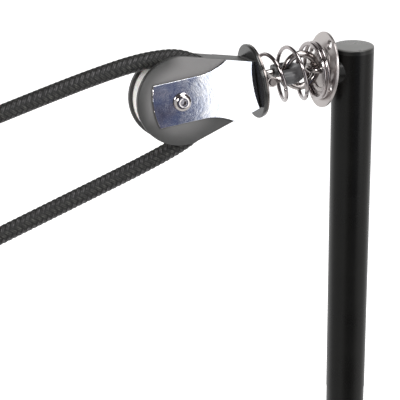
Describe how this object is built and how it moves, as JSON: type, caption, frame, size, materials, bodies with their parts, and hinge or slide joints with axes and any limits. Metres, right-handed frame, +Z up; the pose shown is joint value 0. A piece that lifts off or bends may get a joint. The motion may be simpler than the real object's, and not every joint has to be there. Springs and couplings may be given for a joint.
{
  "type": "shoulder pulley",
  "caption": "Swivelling rope pulley block held off a round riser post by a stand-up spring, ring and shackle, with a rope running over its sheave.",
  "frame": {"origin": "centre of the riser post's foot, where it stands in its socket", "axes": "+Z up the post, -X the way the block stands off the post, +Y to the far side"},
  "size_m": [0.2697, 0.0457, 0.3097],
  "materials": {
    "black_paint": "semi-gloss powder coat",
    "grey_cap": "moulded, satin",
    "black_plastic": "moulded, matte",
    "stainless": "satin stainless",
    "polished_steel": "mirror polished stainless",
    "spring_steel": "drawn wire, bright",
    "dark_sleeve": "satin",
    "grey_nylon": "fine moulded grain",
    "gloss_black": "polished",
    "ivory_acetal": "satin",
    "bearing_steel": "ground",
    "black_braid": "braided polyester cover"
  },
  "bodies": {
    "post": {"post_tube": "black_paint", "post_top_cap": "grey_cap", "post_foot_plug": "black_plastic", "eye_plate": "stainless", "front_saddle": "black_plastic", "inner_saddle": "black_plastic", "u_bolt": "polished_steel", "bolt_nuts": "stainless", "stand_up_spring": "spring_steel"},
    "ring": {"eye_ring": "polished_steel"},
    "shackle": {"shackle_bow": "polished_steel", "shackle_sleeve": "dark_sleeve", "shackle_pin": "polished_steel", "shackle_nut": "polished_steel"},
    "swivel": {"swivel_lug": "polished_steel", "swivel_nut": "stainless"},
    "block": {"near_cheek": "grey_nylon", "far_cheek": "grey_nylon", "head_block": "grey_nylon", "strap": "polished_steel", "seat_disc": "gloss_black", "seat_washer": "polished_steel", "axle_sleeve": "stainless", "axle_screws": "polished_steel", "inner_race": "bearing_steel", "rope": "black_braid", "upper_rope_ferrule": "stainless", "lower_rope_ferrule": "stainless", "upper_rope_eye": "polished_steel", "lower_rope_eye": "polished_steel"},
    "sheave": {"sheave": "ivory_acetal", "bearing_balls": "bearing_steel", "ball_retainers": "ivory_acetal"}
  },
  "joints": [
    {"name": "ring_swing", "type": "hinge", "parent": "post", "child": "ring", "pos_m": [-0.0283, 0, 0.2887], "axis": [0, 1, 0], "range_deg": [-15, 15], "stiffness_Nm_per_rad": 2, "springref_deg": 4.51, "deforming": ["stand_up_spring"]},
    {"name": "shackle_swing", "type": "hinge", "parent": "ring", "child": "shackle", "pos_m": [-0.04363, 0, 0.28722], "axis": [-0.0958, 0, 0.9954], "range_deg": [-35, 35], "stiffness_Nm_per_rad": 2, "springref_deg": 0.01, "deforming": ["stand_up_spring"]},
    {"name": "block_tilt", "type": "hinge", "parent": "shackle", "child": "swivel", "pos_m": [-0.05547, -0.00037, 0.28608], "axis": [-0.0313, 0.9995, -0.003], "range_deg": [-30, 30], "stiffness_Nm_per_rad": 2, "springref_deg": 3.03, "deforming": ["stand_up_spring"]},
    {"name": "head_swivel", "type": "hinge", "parent": "swivel", "child": "block", "pos_m": [-0.11248, -0.00217, 0.28059], "axis": [0.9949, 0.0314, 0.0958], "continuous": true},
    {"name": "sheave_spin", "type": "hinge", "parent": "block", "child": "sheave", "pos_m": [-0.11248, -0.00217, 0.28059], "axis": [-0.0194, 0.9921, -0.1243], "continuous": true}
  ]
}
